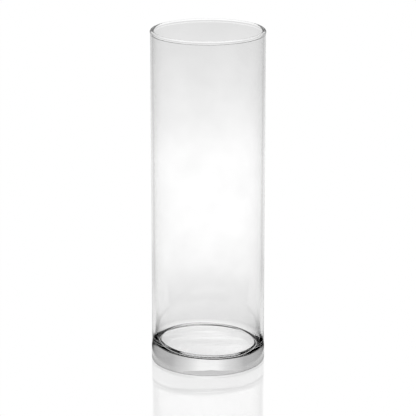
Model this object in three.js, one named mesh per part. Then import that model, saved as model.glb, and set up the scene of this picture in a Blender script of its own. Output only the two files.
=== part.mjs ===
// Glass cylinder vase: a tall straight tube of clear glass with a thick base and a rounded rim.
// The real vase is one blown piece of glass. It is drawn here as the three zones that are
// formed one after another: heavy_base (pressed), cylinder_wall (blown), rim_bead (fire-polished).
// The zones meet face to face on two level planes, as continuous glass does.
//
// Units are millimetres and +Z is up. The origin is the centre of the vase's footprint,
// on the surface that it stands on.

import * as THREE from 'three';

// ---------------------------------------------------------------- driving dimensions

const HEIGHT = 304.8; // overall, a 12 inch vase
const OUTER_RADIUS = 50.8; // outside of the wall, a 4 inch vase
const WALL_THICKNESS = 3.0; // just above the base
const RIM_THICKNESS = 2.2; // just below the rim; the wall thins evenly on its way up

const RIM_BEAD_RADIUS = 1.85; // round bead that the flame draws up along the top edge
const RIM_BEAD_PROUD = 0.35; // how far the bead stands out past the wall below it
const RIM_ZONE_HEIGHT = 6.0; // from the top of the bead down to the plain wall

const FLOOR_HEIGHT = 17.2; // glass below the inner floor, measured from the table
const FLOOR_FLAT_RADIUS = 42.1; // edge of the flat part of the inner floor
const FLOOR_GROOVE_RADIUS = 44.9; // bottom of the shallow groove that runs round the floor
const FLOOR_GROOVE_DEPTH = 1.0;
const FLOOR_CORNER_HEIGHT = 7.5; // rounded corner from the groove up into the wall
const HEEL_RADIUS = 1.8; // outer wall into underside
const BASE_SWELL = 0.35; // how far the base stands out past the wall above it
const BASE_ZONE_HEIGHT = 30.0; // from the table up to the plain wall

const STANDING_RING_WIDTH = 9.0; // the flat ring that the vase stands on
const UNDERSIDE_RECESS = 0.2; // depth of the very shallow hollow inside that ring

// How finely round shapes are divided.
const TURN_SEGMENTS = 72;
const BEAD_STEPS = 7; // on each side of the top
const CORNER_STEPS = 7;
const GROOVE_STEPS = 4;
const HEEL_STEPS = 5;
const SWELL_STEPS = 5;
const RECESS_STEPS = 5;

// ---------------------------------------------------------------- sizes that follow from them

const INNER_RADIUS = OUTER_RADIUS - WALL_THICKNESS;
const RIM_INNER_RADIUS = OUTER_RADIUS - RIM_THICKNESS;
const RIM_BEAD_CENTRE = OUTER_RADIUS + RIM_BEAD_PROUD - RIM_BEAD_RADIUS;
const GROOVE_BOTTOM = FLOOR_HEIGHT - FLOOR_GROOVE_DEPTH;
const BASE_RADIUS = OUTER_RADIUS + BASE_SWELL;
const RECESS_RADIUS = BASE_RADIUS - HEEL_RADIUS - STANDING_RING_WIDTH;
const WALL_TOP = HEIGHT - RIM_ZONE_HEIGHT;
const WALL_BOTTOM = BASE_ZONE_HEIGHT;

// ---------------------------------------------------------------- outlines

// A point of an outline: its distance from the axis and its height above the table.
function at(radius, height) {
  return new THREE.Vector2(radius, height);
}

// Points along an arc, both ends included. Angles are in radians: 0 points away from
// the axis, a quarter turn points up.
function arc(centre, radius, startAngle, endAngle, steps) {
  return Array.from({ length: steps + 1 }, (_, i) => {
    const angle = startAngle + (endAngle - startAngle) * (i / steps);
    return at(centre.x + radius * Math.cos(angle), centre.y + radius * Math.sin(angle));
  });
}

// The hollow under the base, from the axis out to the standing ring, level at both ends.
function recessOutline() {
  return Array.from({ length: RECESS_STEPS + 1 }, (_, i) => {
    const share = i / RECESS_STEPS;
    return at(RECESS_RADIUS * share, UNDERSIDE_RECESS * (1 - share * share) ** 2);
  });
}

// The outside of the base, easing from the swollen foot up into the plain wall.
function swellOutline() {
  return Array.from({ length: SWELL_STEPS + 1 }, (_, i) => {
    const share = i / SWELL_STEPS;
    const ease = (1 + Math.cos(Math.PI * share)) / 2;
    const height = FLOOR_HEIGHT / 2 + (BASE_ZONE_HEIGHT - FLOOR_HEIGHT / 2) * share;
    return at(OUTER_RADIUS + BASE_SWELL * ease, height);
  });
}

// The rounded inner corner, a quarter of an ellipse from the wall down to the groove.
function cornerOutline() {
  return Array.from({ length: CORNER_STEPS + 1 }, (_, i) => {
    const angle = (Math.PI / 2) * (i / CORNER_STEPS);
    const reach = (INNER_RADIUS - FLOOR_GROOVE_RADIUS) * (1 - Math.cos(angle));
    return at(INNER_RADIUS - reach, GROOVE_BOTTOM + FLOOR_CORNER_HEIGHT * (1 - Math.sin(angle)));
  });
}

// The inner side of the groove, easing from its bottom up to the flat floor.
function grooveOutline() {
  return Array.from({ length: GROOVE_STEPS }, (_, i) => {
    const share = (i + 1) / GROOVE_STEPS;
    const ease = (1 - Math.cos(Math.PI * share)) / 2;
    const radius = FLOOR_GROOVE_RADIUS + (FLOOR_FLAT_RADIUS - FLOOR_GROOVE_RADIUS) * share;
    return at(radius, GROOVE_BOTTOM + FLOOR_GROOVE_DEPTH * ease);
  });
}

// ---------------------------------------------------------------- zones

// Thick glass foot: standing ring, heel, outside swell, and the inner floor with its groove.
function heavyBaseOutline() {
  const heelCentre = at(BASE_RADIUS - HEEL_RADIUS, HEEL_RADIUS);
  return [
    ...recessOutline(),
    ...arc(heelCentre, HEEL_RADIUS, -Math.PI / 2, 0, HEEL_STEPS),
    ...swellOutline(),
    at(INNER_RADIUS, BASE_ZONE_HEIGHT),
    ...cornerOutline(),
    ...grooveOutline(),
    at(0, FLOOR_HEIGHT),
  ];
}

// Plain tube between the base and the rim, straight outside and widening inside as it thins.
function cylinderWallOutline() {
  return [
    at(INNER_RADIUS, WALL_BOTTOM),
    at(OUTER_RADIUS, WALL_BOTTOM),
    at(OUTER_RADIUS, WALL_TOP),
    at(RIM_INNER_RADIUS, WALL_TOP),
    at(INNER_RADIUS, WALL_BOTTOM),
  ];
}

// Top of the wall, closed over by a bead a little thicker than the wall itself.
function rimBeadOutline() {
  const beadCentre = at(RIM_BEAD_CENTRE, HEIGHT - RIM_BEAD_RADIUS);
  const outerJoin = Math.acos((OUTER_RADIUS - RIM_BEAD_CENTRE) / RIM_BEAD_RADIUS);
  const innerJoin = Math.acos((RIM_BEAD_CENTRE - RIM_INNER_RADIUS) / RIM_BEAD_RADIUS);
  return [
    at(RIM_INNER_RADIUS, WALL_TOP),
    at(OUTER_RADIUS, WALL_TOP),
    ...arc(beadCentre, RIM_BEAD_RADIUS, -outerJoin, Math.PI / 2, BEAD_STEPS),
    ...arc(beadCentre, RIM_BEAD_RADIUS, Math.PI / 2, Math.PI + innerJoin, BEAD_STEPS).slice(1),
    at(RIM_INNER_RADIUS, WALL_TOP),
  ];
}

// ---------------------------------------------------------------- assembly

const vase = new THREE.Group();

// Turns an outline about the vase's axis and adds it as one named piece of glass.
function addGlass(name, outline, colour) {
  const geometry = new THREE.LatheGeometry(outline, TURN_SEGMENTS);
  geometry.rotateX(Math.PI / 2); // the lathe turns about Y, the vase stands along Z
  const glass = new THREE.MeshStandardMaterial({
    color: colour,
    roughness: 0.03,
    metalness: 0,
    transparent: true,
    opacity: 0.35,
  });
  const mesh = new THREE.Mesh(geometry, glass);
  mesh.name = name;
  vase.add(mesh);
}

addGlass('heavy_base', heavyBaseOutline(), 0xdfe4e3);
addGlass('cylinder_wall', cylinderWallOutline(), 0xeef1f1);
addGlass('rim_bead', rimBeadOutline(), 0xe6eaea);

export default vase;
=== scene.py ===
import math

import bpy
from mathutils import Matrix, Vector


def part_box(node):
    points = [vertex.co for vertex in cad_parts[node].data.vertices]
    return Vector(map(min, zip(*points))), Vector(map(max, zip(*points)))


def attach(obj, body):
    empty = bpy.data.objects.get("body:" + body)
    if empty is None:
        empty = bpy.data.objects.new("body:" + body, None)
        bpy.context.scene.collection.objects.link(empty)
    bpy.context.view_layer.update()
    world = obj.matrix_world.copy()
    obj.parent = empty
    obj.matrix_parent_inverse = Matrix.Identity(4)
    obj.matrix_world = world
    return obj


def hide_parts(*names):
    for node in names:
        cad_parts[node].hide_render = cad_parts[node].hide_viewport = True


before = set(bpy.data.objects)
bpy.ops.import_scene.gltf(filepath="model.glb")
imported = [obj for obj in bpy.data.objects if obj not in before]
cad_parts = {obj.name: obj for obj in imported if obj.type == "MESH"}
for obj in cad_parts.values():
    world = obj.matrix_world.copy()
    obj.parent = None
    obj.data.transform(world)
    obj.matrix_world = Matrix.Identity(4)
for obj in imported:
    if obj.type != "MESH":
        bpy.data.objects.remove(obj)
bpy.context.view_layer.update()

# ---------------------------------------------------------------- sizes, in metres

BASE_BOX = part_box("heavy_base")
WALL_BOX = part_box("cylinder_wall")
RIM_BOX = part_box("rim_bead")

HEIGHT = RIM_BOX[1].z
OUTER_RADIUS = WALL_BOX[1].x
BASE_RADIUS = BASE_BOX[1].x
BASE_TOP = BASE_BOX[1].z

WALL_THICKNESS = 0.003  # just above the base
RIM_THICKNESS = 0.0022  # just below the bead
INNER_RADIUS = OUTER_RADIUS - WALL_THICKNESS
RIM_INNER_RADIUS = OUTER_RADIUS - RIM_THICKNESS

BEAD_RADIUS = 0.00185
BEAD_PROUD = 0.00035  # how far the bead stands out past the wall
BEAD_CENTRE = OUTER_RADIUS + BEAD_PROUD - BEAD_RADIUS
BEAD_HEIGHT = HEIGHT - BEAD_RADIUS  # of the bead's centre

FLOOR_HEIGHT = 0.0172  # the inner floor, at the axis
FLOOR_EDGE = 0.0421  # where the flat floor ends and the groove begins
GROOVE_RADIUS = 0.0449  # bottom of the groove
GROOVE_DEPTH = 0.0019
GROOVE_FRONT = 0.010  # the groove is full in front of this y
GROOVE_BACK = 0.045  # and gone behind this one
FILLET_HEIGHT = 0.0075  # rounded corner from the groove up into the wall
FILLET_WIDTH = INNER_RADIUS - GROOVE_RADIUS
FLOOR_TILT = math.radians(2.4)  # up on the left
BACK_TILT = math.radians(0.8)  # up at the back

HEEL_RADIUS = 0.0018
RING_WIDTH = 0.009  # the flat ring that the vase stands on
RECESS_DEPTH = 0.0002  # hollow inside that ring
RECESS_RADIUS = BASE_RADIUS - HEEL_RADIUS - RING_WIDTH

# How finely the shape is divided.
TURN_STEPS = 400
RECESS_STEPS = 24
HEEL_STEPS = 16
SWELL_STEPS = 16
WALL_STEPS = 40
BEAD_STEPS = 40
FILLET_STEPS = 28
GROOVE_STEPS = 24
FLOOR_STEPS = 12

# ---------------------------------------------------------------- the glass, as a material

GLASS_IOR = 1.5
TINT_DENSITY = 6.0  # per metre of glass
TINT_COLOUR = (0.5, 0.5, 0.5, 1)
RIPPLE_SCALE = 90.0
RIPPLE_DETAIL = 1.0
WALL_RIPPLE = 0.000004  # depth of the ripple in the blown wall, in metres
BASE_RIPPLE = 0.00004  # and how much more of it the pressed base has
SMEAR_SCALE = 35.0
SMEAR_DETAIL = 4.0
SMEAR_RANGE = (0.35, 0.65)  # noise that runs from full smear to clean glass
SMEAR_LEVEL = 0.97

# ---------------------------------------------------------------- the studio
#
# Distances are in metres from the vase's axis. A turn is an angle in degrees from straight
# behind the vase, the same to either side. A band is (start, full, full, end).

FLOOR_SIZE = 8.0  # half of its side
FLOOR_SINK = 0.0003  # below the standing ring, so that the two faces stay apart
FLOOR_WHITE = 0.714
FLOOR_GLOSS = 0.22
FLOOR_GLOSS_ROUGHNESS = 0.05
FLOOR_NEAREST = 0.005  # keeps the logarithm of the distance finite

# Level of the floor by distance, painted light and shade: white at the foot, a painted shadow
# band just past it, a painted bright ring further out, and grey far off.
FLOOR_STOPS = [
    (0.01, 1.0), (0.07, 1.0), (0.09, 0.8), (0.12, 0.8), (0.20, 0.95), (0.40, 1.1), (0.70, 1.1),
    (1.10, 0.9), (1.50, 0.8), (6.00, 0.75),
]

# Painted light: the floor under the vase gets brighter towards the right and the back, by this
# much a metre.
FLOOR_LIGHT_LEAN = (1.5, 4.0)
LEAN_RANGE = (0.030, 0.050)  # and that fades out between these distances

# Painted shade on the floor: dark zones, among them a painted contact shadow under the front of
# the standing ring.
RING_SHADOW_BAND = (0.0315, 0.0345, 0.0500, 0.0540)
RING_TURN = (92.0, 118.0)
NEAR_BAND = (0.060, 0.068, 0.098, 0.106)
NEAR_TURN = (54.0, 60.0)
NEAR_FADE = 0.6
NEAR_FADE_TURN = (120.0, 140.0)
APRON_BAND = (0.088, 0.100, 0.125, 0.200)
APRON_TURN = (58.0, 66.0)
FAR_RANGE = (0.10, 0.30)
FAR_TURN = (4.0, 40.0)
FAR_DARK = 0.35
# Painted shade round the foot at the sides and front, turning to painted light straight behind.
FOOT_BAND = (0.0450, 0.0465, 0.0545, 0.0580)
FOOT_TURN = (3.0, 34.0)
FOOT_LIGHT_LIFT = 0.45  # painted light: the foot's zone is this much brighter, not darker, straight behind

# Level of the sky by turn.
TURN_STOPS = [
    (0, 1.0), (6, 1.0), (15, 0.75), (30, 0.5), (80, 0.5), (90, 0.1), (125, 0.1), (150, 0.3),
    (180, 0.3),
]

# Level of the sky by elevation in degrees, for light that the glass has not reflected.
THROUGH_STOPS = [(0, 0.76), (2, 0.80), (8, 0.95), (20, 1.0), (90, 1.0)]

# Elevations in degrees.
SKY_GAIN = 1.3
GAP_BAND = (24.0, 27.0, 48.0, 56.0)
GAP_TURN = (3.0, 14.0)
GAP_DARK = 0.85
CEILING_RANGE = (46.0, 56.0)
CEILING_LEVEL = 0.85
HORIZON_RANGE = (9.0, 15.0)
HORIZON_LEVEL = 0.45

# Light still trapped in the glass after this many bounces is dropped, which darkens the
# corners of the base.
MOST_BOUNCES = 6
MOST_GLASS_BOUNCES = 14

HALF_COUNT = 0.5  # parts a ray depth of 0 from one of 1 or more

CAMERA_SENSOR = 36
CAMERA_LENS = 198.4
CAMERA_CLIP = 100
CAMERA_BACK = 38.84  # in outer radii
CAMERA_UP = 14.07
CAMERA_PITCH = 16.19  # degrees below level


# ---------------------------------------------------------------- the glass, as a shape

def smooth(share):
    """Eases from 0 to 1 as share does, and stays there outside that range."""
    share = min(1, max(0, share))
    return share * share * (3 - 2 * share)


def arc(centre, radius, start, end, steps):
    """Points of a circular arc in the (radius, height) plane, both ends included."""
    turns = [start + (end - start) * i / steps for i in range(steps + 1)]
    return [
        (centre[0] + radius * math.cos(turn), centre[1] + radius * math.sin(turn))
        for turn in turns
    ]


def eased(low, high, steps):
    """Heights from low to high, both left out, closest together at the two ends."""
    turns = [math.pi * i / steps for i in range(1, steps)]
    return [low + (high - low) * (1 - math.cos(turn)) / 2 for turn in turns]


def bead_join(radius):
    """Angle below level at which the bead runs into a wall face of this radius."""
    return math.acos(abs(radius - BEAD_CENTRE) / BEAD_RADIUS)


def bead_foot(join):
    """Height at which the bead gives way to the wall."""
    return BEAD_HEIGHT - BEAD_RADIUS * math.sin(join)


def outer_outline():
    """From the middle of the underside out, up the outside and over the rim bead."""
    points = []
    for i in range(1, RECESS_STEPS + 1):
        share = i / RECESS_STEPS
        points.append((RECESS_RADIUS * share, RECESS_DEPTH * (1 - share * share) ** 2))
    heel = (BASE_RADIUS - HEEL_RADIUS, HEEL_RADIUS)
    points += arc(heel, HEEL_RADIUS, -math.pi / 2, 0, HEEL_STEPS)
    swell_foot = FLOOR_HEIGHT / 2
    for i in range(SWELL_STEPS + 1):
        share = i / SWELL_STEPS
        swell = (BASE_RADIUS - OUTER_RADIUS) * (1 + math.cos(math.pi * share)) / 2
        points.append((OUTER_RADIUS + swell, swell_foot + (BASE_TOP - swell_foot) * share))
    outer_join = bead_join(OUTER_RADIUS)
    inner_join = bead_join(RIM_INNER_RADIUS)
    points += [(OUTER_RADIUS, z) for z in eased(BASE_TOP, bead_foot(outer_join), WALL_STEPS)]
    bead = (BEAD_CENTRE, BEAD_HEIGHT)
    return points + arc(bead, BEAD_RADIUS, -outer_join, math.pi + inner_join, BEAD_STEPS)


def inner_outline():
    """Down the inside, round the corner and in over the floor to its middle.

    The third value of a point is its share of the groove's depth.
    """
    points = []
    wall_top = bead_foot(bead_join(RIM_INNER_RADIUS))
    for z in reversed(eased(BASE_TOP, wall_top, WALL_STEPS)):
        share = (z - BASE_TOP) / (wall_top - BASE_TOP)
        points.append((INNER_RADIUS + (RIM_INNER_RADIUS - INNER_RADIUS) * share, z, 0))
    points.append((INNER_RADIUS, BASE_TOP, 0))
    for i in range(FILLET_STEPS + 1):
        turn = math.pi / 2 * i / FILLET_STEPS
        radius = INNER_RADIUS - FILLET_WIDTH * (1 - math.cos(turn))
        z = FLOOR_HEIGHT + FILLET_HEIGHT * (1 - math.sin(turn))
        points.append((radius, z, math.sin(turn)))
    for i in range(1, GROOVE_STEPS + 1):
        share = i / GROOVE_STEPS
        radius = GROOVE_RADIUS + (FLOOR_EDGE - GROOVE_RADIUS) * share
        points.append((radius, FLOOR_HEIGHT, (1 + math.cos(math.pi * share)) / 2))
    for i in range(1, FLOOR_STEPS):
        points.append((FLOOR_EDGE * (1 - i / FLOOR_STEPS), FLOOR_HEIGHT, 0))
    return points


def floor_lift(x, y, z):
    """How far the inner floor stands out of level, fading out on the way up the wall."""
    share = (BASE_TOP - z) / (BASE_TOP - FLOOR_HEIGHT - FILLET_HEIGHT)
    return (y * math.tan(BACK_TILT) - x * math.tan(FLOOR_TILT)) * smooth(share)


def groove_sink(y, share):
    """How far the groove is pressed in: full at the front, gone at the back."""
    back = smooth((y - GROOVE_FRONT) / (GROOVE_BACK - GROOVE_FRONT))
    return GROOVE_DEPTH * share * (1 - back)


def inner_point(radius, z, share, cos, sin):
    """A point of the inside, with the floor's tilt and groove."""
    x, y = radius * cos, radius * sin
    return x, y, z + floor_lift(x, y, z) - groove_sink(y, share)


def turned_glass(name):
    """The whole vase as one closed mesh, turned from its outlines."""
    outer, inner = outer_outline(), inner_outline()
    verts, faces = [], []
    for k in range(TURN_STEPS):
        turn = 2 * math.pi * k / TURN_STEPS
        cos, sin = math.cos(turn), math.sin(turn)
        verts += [(radius * cos, radius * sin, z) for radius, z in outer]
        verts += [inner_point(radius, z, share, cos, sin) for radius, z, share in inner]
    lower, upper = len(verts), len(verts) + 1
    verts += [(0, 0, RECESS_DEPTH), (0, 0, FLOOR_HEIGHT)]
    count = len(outer) + len(inner)
    for k in range(TURN_STEPS):
        a = k * count
        b = (k + 1) % TURN_STEPS * count
        faces += [(a + i, b + i, b + i + 1, a + i + 1) for i in range(count - 1)]
        faces += [(lower, b, a), (upper, a + count - 1, b + count - 1)]
    mesh = bpy.data.meshes.new(name)
    mesh.from_pydata(verts, [], faces)
    mesh.polygons.foreach_set("use_smooth", [True] * len(mesh.polygons))
    mesh.update()
    piece = bpy.data.objects.new(name, mesh)
    bpy.context.scene.collection.objects.link(piece)
    return piece


# ---------------------------------------------------------------- materials

class Graph:
    """Short calls for adding nodes to one node tree."""

    def __init__(self, tree):
        self.tree = tree
        tree.nodes.clear()

    def add(self, kind, inputs=None, **settings):
        """A node. Inputs are {socket name or number: value, or a socket to link from}."""
        node = self.tree.nodes.new(kind)
        for key, value in settings.items():
            setattr(node, key, value)
        for key, value in (inputs or {}).items():
            if isinstance(value, bpy.types.NodeSocket):
                self.tree.links.new(value, node.inputs[key])
            else:
                node.inputs[key].default_value = value
        return node

    def math(self, operation, *values):
        return self.add("ShaderNodeMath", dict(enumerate(values)), operation=operation).outputs[0]

    def product(self, first, *others):
        for other in others:
            first = self.math("MULTIPLY", first, other)
        return first

    def rest(self, value):
        """What is left of 1."""
        return self.math("SUBTRACT", 1.0, value)

    def rise(self, value, low, high):
        """0 below low, 1 above high, and smooth between them."""
        inputs = {0: value, 1: low, 2: high, 3: 0.0, 4: 1.0}
        return self.add("ShaderNodeMapRange", inputs, interpolation_type="SMOOTHSTEP").outputs[0]

    def window(self, value, band):
        """1 between the middle two edges of a band, 0 outside the outer two."""
        start, full, last, end = band
        return self.product(self.rise(value, start, full), self.rest(self.rise(value, last, end)))

    def levels(self, value, stops):
        """A grey level that runs through (value, level) stops."""
        low, high = stops[0][0], stops[-1][0]
        share = self.math("DIVIDE", self.math("SUBTRACT", value, low), high - low)
        ramp = self.add("ShaderNodeValToRGB", {0: share})
        elements = ramp.color_ramp.elements
        while len(elements) > 1:
            elements.remove(elements[-1])
        for i, (at, level) in enumerate(stops):
            position = (at - low) / (high - low)
            element = elements[0] if i == 0 else elements.new(position)
            element.position = position
            element.color = (level, level, level, 1)
        return ramp.outputs[0]

    def turn_behind(self, xyz):
        """Angle in degrees from straight behind, the same to either side."""
        angle = self.math("ARCTAN2", xyz.outputs[0], xyz.outputs[1])
        return self.math("ABSOLUTE", self.math("DEGREES", angle))

    def mix(self, share, first, second):
        inputs = {0: share, 2: first, 3: second}
        return self.add("ShaderNodeMix", inputs, data_type="FLOAT").outputs[0]

    def mix_shader(self, share, first, second):
        return self.add("ShaderNodeMixShader", {0: share, 1: first, 2: second}).outputs[0]


def grey(level):
    return (level, level, level, 1)


def new_graph(owner):
    """A cleared node tree for a material or a world."""
    owner.use_nodes = True
    return Graph(owner.node_tree)


def glass_material():
    """Clear soda glass: a trace of grey, fire-polished ripple, and faint handling smears."""
    material = bpy.data.materials.new("clear_glass")
    g = new_graph(material)
    place = g.add("ShaderNodeTexCoord").outputs["Object"]
    z = g.add("ShaderNodeSeparateXYZ", {0: place}).outputs[2]
    pressed = g.rest(g.rise(z, FLOOR_HEIGHT, BASE_TOP))
    ripple_inputs = {"Vector": place, "Scale": RIPPLE_SCALE, "Detail": RIPPLE_DETAIL}
    ripple = g.add("ShaderNodeTexNoise", ripple_inputs).outputs[0]
    depth = g.math("ADD", WALL_RIPPLE, g.product(pressed, BASE_RIPPLE))
    bump_inputs = {"Height": g.product(ripple, depth), "Strength": 1.0, "Distance": 1.0}
    bump = g.add("ShaderNodeBump", bump_inputs)
    smear_inputs = {"Vector": place, "Scale": SMEAR_SCALE, "Detail": SMEAR_DETAIL}
    smear = g.add("ShaderNodeTexNoise", smear_inputs).outputs[0]
    level_inputs = {0: smear, 1: SMEAR_RANGE[0], 2: SMEAR_RANGE[1], 3: SMEAR_LEVEL, 4: 1.0}
    bsdf = g.add("ShaderNodeBsdfPrincipled", {
        "Base Color": g.add("ShaderNodeMapRange", level_inputs).outputs[0],
        "Roughness": 0.0,
        "IOR": GLASS_IOR,
        "Normal": bump.outputs[0],
        "Transmission Weight": 1.0,
    })
    tint = g.add("ShaderNodeVolumeAbsorption", {"Color": TINT_COLOUR, "Density": TINT_DENSITY})
    g.add("ShaderNodeOutputMaterial", {"Surface": bsdf.outputs[0], "Volume": tint.outputs[0]})
    return material


def floor_painted_shade(g, r, turn):
    """How much of the light each zone of painted shade takes from the floor; straight behind, the
    foot's zone adds painted light instead.
    """
    faded = g.rest(g.product(g.rise(turn, *NEAR_FADE_TURN), NEAR_FADE))
    # painted contact shadow under the front of the standing ring
    ring = g.product(g.window(r, RING_SHADOW_BAND), g.rise(turn, *RING_TURN))
    # painted shade close round the base at the sides and front, weaker in front
    near = g.product(g.window(r, NEAR_BAND), faded, g.rise(turn, *NEAR_TURN))
    # painted shade a little further out, at the sides and front
    apron = g.product(g.window(r, APRON_BAND), g.rise(turn, *APRON_TURN))
    # painted shade far off, all round but straight behind
    far = g.product(g.rise(r, *FAR_RANGE), g.rise(turn, *FAR_TURN), FAR_DARK)
    # painted shade round the foot at the sides and front, painted light straight behind
    lifted = g.math("SUBTRACT", g.rise(turn, *FOOT_TURN), FOOT_LIGHT_LIFT)
    foot = g.product(g.window(r, FOOT_BAND), lifted)
    return ring, near, apron, far, foot


def floor_material():
    """Plain white with a faint gloss to the camera, and graded with painted light and shade to
    the rays out of the glass.

    Only light that the glass has reflected, inside it or off its outside, sees the painted shade
    of the dark zones.
    """
    material = bpy.data.materials.new("studio_floor")
    g = new_graph(material)
    place = g.add("ShaderNodeNewGeometry").outputs["Position"]
    xyz = g.add("ShaderNodeSeparateXYZ", {0: place})
    x, y = xyz.outputs[0], xyz.outputs[1]
    turn = g.turn_behind(xyz)
    r = g.math("SQRT", g.math("ADD", g.product(x, x), g.product(y, y)))
    log_r = g.math("LOGARITHM", g.math("MAXIMUM", r, FLOOR_NEAREST), 10.0)
    # painted light and shade on the floor by distance
    level = g.levels(log_r, [(math.log10(at), level) for at, level in FLOOR_STOPS])
    # painted light towards the right and the back, under the vase
    lean = g.math("ADD", g.product(x, FLOOR_LIGHT_LEAN[0]), g.product(y, FLOOR_LIGHT_LEAN[1]))
    under = g.rest(g.rise(r, *LEAN_RANGE))
    level = g.product(level, g.math("ADD", 1.0, g.product(lean, under)))
    path = g.add("ShaderNodeLightPath")
    reflected = g.math("GREATER_THAN", path.outputs["Glossy Depth"], HALF_COUNT)
    # painted shade, seen only by rays that the glass has reflected
    for dark in floor_painted_shade(g, r, turn):
        level = g.product(level, g.rest(g.product(dark, reflected)))
    lit = g.add("ShaderNodeEmission", {"Color": level})
    white = g.add("ShaderNodeEmission", {"Strength": FLOOR_WHITE})
    gloss_inputs = {"Color": grey(FLOOR_GLOSS), "Roughness": FLOOR_GLOSS_ROUGHNESS}
    gloss = g.add("ShaderNodeBsdfGlossy", gloss_inputs)
    seen = g.add("ShaderNodeAddShader", {0: white.outputs[0], 1: gloss.outputs[0]})
    surface = g.mix_shader(path.outputs["Is Camera Ray"], lit.outputs[0], seen.outputs[0])
    g.add("ShaderNodeOutputMaterial", {"Surface": surface})
    return material


# ---------------------------------------------------------------- the studio, built

def studio_floor():
    mesh = bpy.data.meshes.new("studio_floor")
    s = FLOOR_SIZE
    mesh.from_pydata([(-s, -s, 0), (s, -s, 0), (s, s, 0), (-s, s, 0)], [], [(0, 1, 2, 3)])
    plane = bpy.data.objects.new("studio_floor", mesh)
    plane.location.z = -FLOOR_SINK
    bpy.context.scene.collection.objects.link(plane)
    mesh.materials.append(floor_material())


def studio_world():
    """Plain white to the camera, and graded to the rays that meet the glass.

    The floor's own soft reflection sees plain white as well, so that the floor stays even.
    """
    world = bpy.data.worlds.new("studio")
    bpy.context.scene.world = world
    g = new_graph(world)
    ray = g.add("ShaderNodeTexCoord").outputs["Generated"]
    xyz = g.add("ShaderNodeSeparateXYZ", {0: ray})
    elevation = g.math("DEGREES", g.math("ARCSINE", xyz.outputs[2]))
    turn = g.turn_behind(xyz)

    above = g.rise(elevation, *CEILING_RANGE)
    around = g.product(g.levels(turn, TURN_STOPS), g.rest(above))
    level = g.math("ADD", around, g.product(above, CEILING_LEVEL))
    gap = g.product(g.window(elevation, GAP_BAND), g.rise(turn, *GAP_TURN), GAP_DARK)
    level = g.product(level, g.rest(gap), SKY_GAIN)
    level = g.mix(g.rest(g.rise(elevation, *HORIZON_RANGE)), level, HORIZON_LEVEL)

    path = g.add("ShaderNodeLightPath")
    straight = g.math("LESS_THAN", path.outputs["Glossy Depth"], HALF_COUNT)
    level = g.mix(straight, level, g.levels(elevation, THROUGH_STOPS))
    outside = g.math("LESS_THAN", path.outputs["Transmission Depth"], HALF_COUNT)
    soft = g.rest(path.outputs["Is Singular Ray"])

    lit = g.add("ShaderNodeBackground", {"Color": level})
    bare = g.add("ShaderNodeBackground", {"Color": grey(SKY_GAIN)})
    white = g.add("ShaderNodeBackground", {"Color": grey(1)})
    other = g.mix_shader(g.product(outside, soft), lit.outputs[0], bare.outputs[0])
    surface = g.mix_shader(path.outputs["Is Camera Ray"], other, white.outputs[0])
    g.add("ShaderNodeOutputWorld", {"Surface": surface})


def studio_camera():
    data = bpy.data.cameras.new("camera")
    data.sensor_width = CAMERA_SENSOR
    data.lens = CAMERA_LENS
    data.clip_end = CAMERA_CLIP
    camera = bpy.data.objects.new("camera", data)
    camera.location = (0, -CAMERA_BACK * OUTER_RADIUS, CAMERA_UP * OUTER_RADIUS)
    camera.rotation_euler = (math.radians(90 - CAMERA_PITCH), 0, 0)
    bpy.context.scene.collection.objects.link(camera)
    bpy.context.scene.camera = camera


vase = turned_glass("vase_glass")
vase.data.materials.append(glass_material())
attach(vase, "root")
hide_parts("heavy_base", "cylinder_wall", "rim_bead")

studio_floor()
studio_world()
studio_camera()

scene = bpy.context.scene
scene.view_settings.view_transform = "Standard"
scene.cycles.max_bounces = MOST_BOUNCES
scene.cycles.transmission_bounces = MOST_GLASS_BOUNCES
scene.cycles.glossy_bounces = MOST_GLASS_BOUNCES
